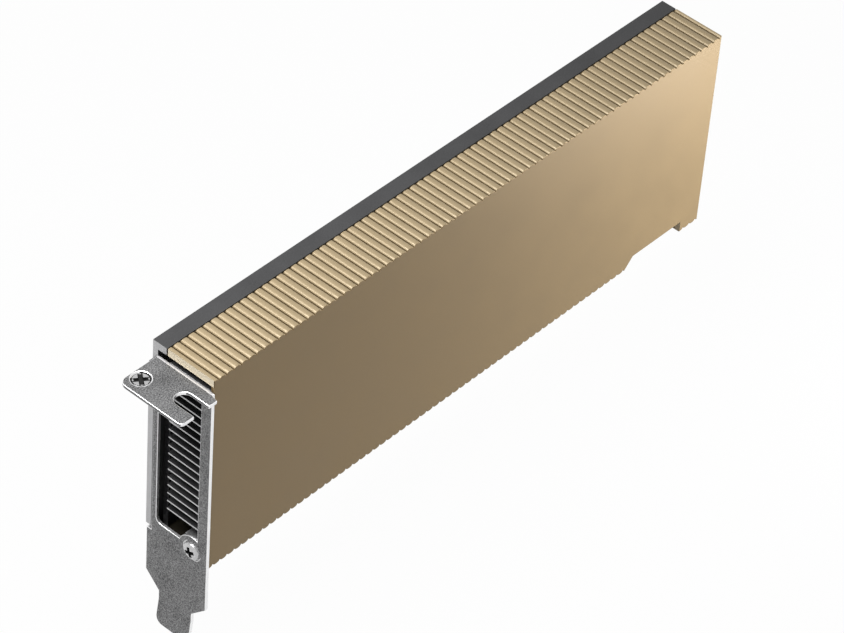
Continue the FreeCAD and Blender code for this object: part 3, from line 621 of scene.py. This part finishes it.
MOTTLE_TO_GRAIN = 25
COLOUR_STOPS = (0.36, 0.64)
GLOSS_RANGE = (0.3, 0.7)


def graph(name):
    """A new material, its node tree and its shader."""
    material = bpy.data.materials.new(name)
    material.use_nodes = True
    tree = material.node_tree
    return material, tree, tree.nodes["Principled BSDF"]


def object_place(tree, scale=(1, 1, 1)):
    """Object coordinates, stretched where a grain runs one way."""
    where = tree.nodes.new("ShaderNodeTexCoord")
    stretch = tree.nodes.new("ShaderNodeMapping")
    stretch.inputs["Scale"].default_value = scale
    tree.links.new(where.outputs["Object"], stretch.inputs["Vector"])
    return stretch.outputs["Vector"]


def noise(tree, vector, size, detail=3.0, rough=0.55):
    """A noise whose grains are about size metres across."""
    grain = tree.nodes.new("ShaderNodeTexNoise")
    grain.inputs["Scale"].default_value = 1.0 / size
    grain.inputs["Detail"].default_value = detail
    grain.inputs["Roughness"].default_value = rough
    tree.links.new(vector, grain.inputs["Vector"])
    return grain.outputs["Fac"]


def ramp(tree, value, dark, light):
    """A colour that goes from dark to light with a noise's value."""
    colours = tree.nodes.new("ShaderNodeValToRGB")
    line = colours.color_ramp
    for element, place, colour in zip(line.elements, COLOUR_STOPS, (dark, light)):
        element.position = place
        element.color = (*colour, 1.0)
    tree.links.new(value, colours.inputs["Fac"])
    return colours.outputs["Color"]


def spread(tree, value, low, high):
    """Maps a noise's middle range to low and high."""
    span = tree.nodes.new("ShaderNodeMapRange")
    span.inputs["From Min"].default_value = GLOSS_RANGE[0]
    span.inputs["From Max"].default_value = GLOSS_RANGE[1]
    span.inputs["To Min"].default_value = low
    span.inputs["To Max"].default_value = high
    tree.links.new(value, span.inputs["Value"])
    return span.outputs["Result"]


def bump(tree, shader, value, height, strength):
    """Relief of the given height in metres."""
    rough = tree.nodes.new("ShaderNodeBump")
    rough.inputs["Distance"].default_value = height
    rough.inputs["Strength"].default_value = strength
    tree.links.new(value, rough.inputs["Height"])
    tree.links.new(rough.outputs["Normal"], shader.inputs["Normal"])


def finish(name, dark, light, grain, metallic=0.0, roughness=(0.4, 0.5), height=0.01, strength=0.3,
           stretch=(1, 1, 1), mottle=None, cloud=0.35, specular=0.5):
    """A surface with a fine grain in its colour, gloss and relief, and a wider mottle, whose share
    of the colour is cloud."""
    material, tree, shader = graph(name)
    where = object_place(tree, stretch)
    fine = noise(tree, where, grain)
    wide = noise(tree, object_place(tree), mottle or grain * MOTTLE_TO_GRAIN, detail=2.0)
    mixed = tree.nodes.new("ShaderNodeMath")
    mixed.operation = "MULTIPLY_ADD"
    tree.links.new(wide, mixed.inputs[0])
    mixed.inputs[1].default_value = cloud
    weighted = tree.nodes.new("ShaderNodeMath")
    weighted.operation = "MULTIPLY"
    tree.links.new(fine, weighted.inputs[0])
    weighted.inputs[1].default_value = 1 - cloud
    tree.links.new(weighted.outputs["Value"], mixed.inputs[2])
    tree.links.new(ramp(tree, mixed.outputs["Value"], dark, light), shader.inputs["Base Color"])
    tree.links.new(spread(tree, wide, *roughness), shader.inputs["Roughness"])
    bump(tree, shader, fine, height * MM, strength)
    shader.inputs["Metallic"].default_value = metallic
    shader.inputs["Specular IOR Level"].default_value = specular
    return material


def laminate():
    """Black solder mask with faint copper runs under it."""
    material, tree, shader = graph("solder_mask")
    where = object_place(tree)
    runs = tree.nodes.new("ShaderNodeTexBrick")
    runs.inputs["Scale"].default_value = 1.0
    runs.inputs["Brick Width"].default_value = 5.2 * MM
    runs.inputs["Row Height"].default_value = 0.9 * MM
    runs.inputs["Mortar Size"].default_value = 0.12 * MM
    runs.inputs["Color1"].default_value = (0.010, 0.010, 0.011, 1)
    runs.inputs["Color2"].default_value = (0.013, 0.013, 0.014, 1)
    runs.inputs["Mortar"].default_value = (0.020, 0.020, 0.021, 1)
    turn = tree.nodes.new("ShaderNodeMapping")
    turn.inputs["Rotation"].default_value = (math.radians(90), 0, 0)
    tree.links.new(where, turn.inputs["Vector"])
    tree.links.new(turn.outputs["Vector"], runs.inputs["Vector"])
    tree.links.new(runs.outputs["Color"], shader.inputs["Base Color"])
    bump(tree, shader, runs.outputs["Fac"], 0.02 * MM, 0.4)
    shader.inputs["Roughness"].default_value = 0.35
    return material


def make_materials():
    """One material for each slot, and a few more for the faces that a tint function numbers."""
    made = {
        "gold_anodised": finish("gold_anodised", (0.250, 0.174, 0.083), (0.273, 0.192, 0.094),
                                0.12 * MM, metallic=0.30, roughness=(0.40, 0.46), height=0.004,
                                strength=0.25, mottle=9 * MM, specular=0.25),
        # A lighter copy of the cover's gold for the ridges, which paints light on them
        "rib_gold": finish("rib_gold", (0.325, 0.252, 0.146), (0.355, 0.276, 0.164), 0.12 * MM,
                           metallic=0.15, roughness=(0.36, 0.42), height=0.004, strength=0.25,
                           mottle=9 * MM, specular=0.45),
        # A dark copy of the gold down in the grooves: painted shade between the ridges
        "groove_gold": finish("groove_gold", (0.11, 0.075, 0.035), (0.13, 0.09, 0.045), 0.12 * MM,
                              metallic=0.15, roughness=(0.5, 0.6), height=0.004, strength=0.2,
                              specular=0.2),
        # A near-black copy of the gold inside the duct: painted shade in the hollow of the cover
        "duct_gold": finish("duct_gold", (0.018, 0.015, 0.010), (0.028, 0.024, 0.016), 0.2 * MM,
                            roughness=(0.6, 0.7), height=0.004, strength=0.2, specular=0.1),
        # A pale copy of the gold on the top wall's end that faces the bracket: a painted highlight
        "end_gold": finish("end_gold", (0.78, 0.68, 0.50), (0.86, 0.76, 0.57), 0.2 * MM,
                           roughness=(0.4, 0.5), height=0.004, strength=0.2),
        "bracket_steel": finish("bracket_steel", (0.03, 0.03, 0.031), (0.29, 0.29, 0.292), 0.30 * MM,
                                metallic=0.7, roughness=(0.38, 0.46), height=0.02, strength=0.5,
                                cloud=0.15),
        # Near-white steel on the bracket's sheared faces and rounded edges: bare cut edges,
        # brightened further as a painted highlight
        "bright_steel": finish("bright_steel", (0.80, 0.80, 0.81), (0.92, 0.92, 0.92), 0.2 * MM,
                               metallic=0.9, roughness=(0.3, 0.4), height=0.004, strength=0.2),
        # A pale grey on the outside of the bracket's bend: a painted highlight along the bend
        "bend_steel": finish("bend_steel", (0.62, 0.61, 0.62), (0.76, 0.75, 0.76), 0.2 * MM,
                             metallic=0.4, roughness=(0.35, 0.45), height=0.004, strength=0.2),
        "cut_steel": finish("cut_steel", (0.10, 0.10, 0.101), (0.20, 0.20, 0.202), 0.2 * MM,
                            metallic=0.6, roughness=(0.35, 0.45), height=0.008, strength=0.3),
        "screw_steel": finish("screw_steel", (0.46, 0.46, 0.465), (0.62, 0.62, 0.62), 0.3 * MM,
                              metallic=0.8, roughness=(0.18, 0.3), height=0.004, strength=0.2),
        "dark_anodised": finish("dark_anodised", (0.052, 0.052, 0.053), (0.074, 0.074, 0.076),
                                0.15 * MM, metallic=0.1, roughness=(0.38, 0.46), height=0.006,
                                strength=0.35, mottle=12 * MM, specular=0.12),
        "cut_aluminium": finish("cut_aluminium", (0.39, 0.39, 0.395), (0.49, 0.49, 0.495), 0.15 * MM,
                                metallic=0.7, roughness=(0.35, 0.45), height=0.006, strength=0.3),
        "plain_aluminium": finish("plain_aluminium", (0.55, 0.55, 0.56), (0.68, 0.68, 0.69),
                                  0.2 * MM, metallic=0.9, roughness=(0.3, 0.42), height=0.006,
                                  strength=0.3, stretch=(0.1, 1, 1)),
        # The fins' faces are near-black: painted shade for the dark gaps between the fins
        "fin_aluminium": finish("fin_aluminium", (0.05, 0.05, 0.052), (0.09, 0.09, 0.092), 0.3 * MM,
                                metallic=0.6, roughness=(0.35, 0.5), height=0.004, strength=0.2),
        # A light grey on the fins' ends that face the bracket: a painted highlight on their edges
        "fin_edge": finish("fin_edge", (0.46, 0.46, 0.47), (0.56, 0.56, 0.56), 0.15 * MM,
                           metallic=0.5, roughness=(0.3, 0.4), height=0.003, strength=0.2),
        "board_laminate": laminate(),
        "contact_gold": finish("contact_gold", (0.78, 0.52, 0.17), (0.88, 0.62, 0.24), 0.2 * MM,
                               metallic=1.0, roughness=(0.2, 0.3), height=0.002, strength=0.2),
        "substrate_green": finish("substrate_green", (0.02, 0.09, 0.04), (0.03, 0.12, 0.055),
                                  0.3 * MM, roughness=(0.35, 0.45)),
        "silicon": finish("silicon", (0.08, 0.085, 0.1), (0.11, 0.115, 0.13), 0.4 * MM,
                          metallic=0.5, roughness=(0.1, 0.16), height=0.001, strength=0.1),
        "thermal_grey": finish("thermal_grey", (0.33, 0.36, 0.4), (0.42, 0.45, 0.5), 0.25 * MM,
                               roughness=(0.7, 0.85), height=0.02, strength=0.5),
        "stiffener_metal": finish("stiffener_metal", (0.5, 0.5, 0.5), (0.62, 0.62, 0.61), 0.2 * MM,
                                  metallic=0.9, roughness=(0.25, 0.35)),
        "chip_black": finish("chip_black", (0.018, 0.018, 0.019), (0.032, 0.032, 0.034), 0.15 * MM,
                             roughness=(0.5, 0.62), height=0.01, strength=0.5),
        "ferrite_grey": finish("ferrite_grey", (0.11, 0.11, 0.115), (0.19, 0.19, 0.195), 0.3 * MM,
                               roughness=(0.6, 0.75), height=0.03, strength=0.6),
        "capacitor_can": finish("capacitor_can", (0.025, 0.025, 0.027), (0.045, 0.045, 0.047),
                                0.2 * MM, roughness=(0.4, 0.5)),
        # Near-black steel in the screws' cross recesses, the tab screw's rim and the bracket's
        # countersink: painted shade in these hollows
        "recess_steel": finish("recess_steel", (0.010, 0.010, 0.010), (0.022, 0.022, 0.022),
                               0.2 * MM, metallic=0.3, roughness=(0.45, 0.55), specular=0.2),
        "capacitor_ceramic": finish("capacitor_ceramic", (0.34, 0.22, 0.12), (0.42, 0.28, 0.16),
                                    0.1 * MM, roughness=(0.35, 0.45)),
        "spring_steel": finish("spring_steel", (0.36, 0.36, 0.38), (0.5, 0.5, 0.52), 0.2 * MM,
                               metallic=1.0, roughness=(0.25, 0.4), stretch=(0.08, 1, 1)),
        "film_black": finish("film_black", (0.012, 0.012, 0.012), (0.022, 0.022, 0.022), 0.3 * MM,
                             roughness=(0.25, 0.35)),
        "brass_spacer": finish("brass_spacer", (0.6, 0.42, 0.17), (0.72, 0.52, 0.23), 0.2 * MM,
                               metallic=1.0, roughness=(0.25, 0.35), stretch=(1, 0.1, 1)),
        "frame_screw_black": finish("frame_screw_black", (0.02, 0.02, 0.021), (0.04, 0.04, 0.041),
                                    0.2 * MM, metallic=0.6, roughness=(0.3, 0.42)),
    }
    more = {"ribbed_cover": ("rib_gold", "duct_gold", "end_gold", "groove_gold"),
            "io_bracket_detailed": ("bright_steel", "cut_steel", "recess_steel", "bend_steel"),
            "back_frame_detailed": ("cut_aluminium",),
            "heatsink_fins_detailed": ("fin_edge",),
            "coupling_capacitors_detailed": ("stiffener_metal",),
            "back_capacitors_detailed": ("stiffener_metal",),
            "bracket_screw_detailed": ("recess_steel",),
            "tab_screw_detailed": ("recess_steel",),
            "processor_screws_detailed": ("recess_steel",),
            "frame_screws_detailed": ("recess_steel",)}
    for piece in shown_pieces():
        slot = slot_of.get(piece.name) or piece["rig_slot"]
        for place in range(len(piece.data.materials)):
            piece.data.materials[place] = made[slot]
        if not piece.data.materials:
            piece.data.materials.append(made[slot])
        for name in more.get(piece.name, ()):
            piece.data.materials.append(made[name])


# Studio: floor, sky, soft lamps and camera. FLOOR_PURE is the share of pure white in the floor that
# the camera sees, and the rest shows the shadow.

FLOOR_SIZE = 6.0
FLOOR_GREY = 0.50
FLOOR_PURE = 0.975
SKY_FOR_LIGHT = 0.08


def seen_directly(tree):
    """1 for camera, glossy and transmission rays, and 0 for the rays that light the object."""
    path = tree.nodes.new("ShaderNodeLightPath")
    total = path.outputs["Is Camera Ray"]
    for kind in ("Is Glossy Ray", "Is Transmission Ray"):
        add = tree.nodes.new("ShaderNodeMath")
        add.operation = "MAXIMUM"
        tree.links.new(total, add.inputs[0])
        tree.links.new(path.outputs[kind], add.inputs[1])
        total = add.outputs["Value"]
    return total


def make_floor():
    """A floor that looks nearly pure white and keeps a faint shadow."""
    shape = bmesh.new()
    bmesh.ops.create_grid(shape, x_segments=8, y_segments=8, size=FLOOR_SIZE / 2)
    bmesh.ops.translate(shape, vec=(0, 0, cad_box[0].z), verts=shape.verts)
    floor = bpy.data.objects.new("floor", plain_mesh(shape, "floor"))
    bpy.context.scene.collection.objects.link(floor)
    material = bpy.data.materials.new("white_floor")
    material.use_nodes = True
    tree = material.node_tree
    tree.nodes.clear()
    out = tree.nodes.new("ShaderNodeOutputMaterial")
    matt = tree.nodes.new("ShaderNodeBsdfDiffuse")
    matt.inputs["Color"].default_value = (FLOOR_GREY, FLOOR_GREY, FLOOR_GREY, 1)
    white = tree.nodes.new("ShaderNodeEmission")
    mix = tree.nodes.new("ShaderNodeMixShader")
    share = tree.nodes.new("ShaderNodeMath")
    share.operation = "MULTIPLY"
    share.inputs[1].default_value = FLOOR_PURE
    tree.links.new(seen_directly(tree), share.inputs[0])
    tree.links.new(share.outputs["Value"], mix.inputs["Fac"])
    tree.links.new(matt.outputs["BSDF"], mix.inputs[1])
    tree.links.new(white.outputs["Emission"], mix.inputs[2])
    tree.links.new(mix.outputs["Shader"], out.inputs["Surface"])
    floor.data.materials.append(material)


def make_sky():
    """A sky that looks white and gives only a dim light."""
    world = bpy.data.worlds.new("studio")
    bpy.context.scene.world = world
    world.use_nodes = True
    tree = world.node_tree
    tree.nodes.clear()
    out = tree.nodes.new("ShaderNodeOutputWorld")
    dim = tree.nodes.new("ShaderNodeBackground")
    dim.inputs["Strength"].default_value = SKY_FOR_LIGHT
    white = tree.nodes.new("ShaderNodeBackground")
    mix = tree.nodes.new("ShaderNodeMixShader")
    tree.links.new(seen_directly(tree), mix.inputs["Fac"])
    tree.links.new(dim.outputs["Background"], mix.inputs[1])
    tree.links.new(white.outputs["Background"], mix.inputs[2])
    tree.links.new(mix.outputs["Shader"], out.inputs["Surface"])


def lamp(name, place, target, size, power):
    """A square soft lamp at place that faces target, in metres and watts."""
    data = bpy.data.lights.new(name, "AREA")
    data.size = size
    data.energy = power
    item = bpy.data.objects.new(name, data)
    item.location = place
    item.rotation_euler = (Vector(target) - Vector(place)).to_track_quat("-Z", "Y").to_euler()
    item.visible_camera = False
    bpy.context.scene.collection.objects.link(item)


def make_lamps():
    lamp("top_left", Vector((-0.13, 0.05, 0.36)), Vector((-0.02, 0, 0.07)), 0.22, 1.75)
    lamp("front_right", Vector((0.15, -0.10, 0.03)), Vector((0.09, -0.015, 0.04)), 0.09, 0.21)
    lamp("left_fill", Vector((-0.50, -0.22, 0.25)), bracket_low, 0.30, 0.5)


# The photograph's camera, found by fitting a camera to the card's outline

CAMERA_AZIMUTH = math.radians(-50.60)
CAMERA_ELEVATION = math.radians(42.46)
CAMERA_ROLL = math.radians(4.555)
CAMERA_DISTANCE = 0.937
CAMERA_RIGHT = -0.0047
CAMERA_UP = -0.0051
CAMERA_LENS = 176.36
CAMERA_AIM = Vector((0.025, -0.006, 0.035))


def make_camera():
    back = Vector((math.sin(CAMERA_AZIMUTH) * math.cos(CAMERA_ELEVATION),
                   -math.cos(CAMERA_AZIMUTH) * math.cos(CAMERA_ELEVATION),
                   math.sin(CAMERA_ELEVATION)))
    level = (-back).cross(Vector((0, 0, 1))).normalized()
    above = level.cross(-back)
    right = level * math.cos(CAMERA_ROLL) + above * math.sin(CAMERA_ROLL)
    up = above * math.cos(CAMERA_ROLL) - level * math.sin(CAMERA_ROLL)
    place = CAMERA_AIM + back * CAMERA_DISTANCE + right * CAMERA_RIGHT + up * CAMERA_UP
    data = bpy.data.cameras.new("camera")
    data.sensor_width = 36.0
    data.lens = CAMERA_LENS
    data.clip_start = 0.05
    data.clip_end = 20.0
    camera = bpy.data.objects.new("camera", data)
    camera.matrix_world = Matrix((
        (right.x, up.x, back.x, place.x),
        (right.y, up.y, back.y, place.y),
        (right.z, up.z, back.z, place.z),
        (0, 0, 0, 1),
    ))
    bpy.context.scene.collection.objects.link(camera)
    bpy.context.scene.camera = camera


make_cover()
make_screws()
make_tab_screw()
make_sheet_pieces()
make_capacitors()
make_materials()
make_floor()
make_sky()
make_lamps()
make_camera()
bpy.context.scene.view_settings.view_transform = "Standard"

bpy.context.view_layer.update()
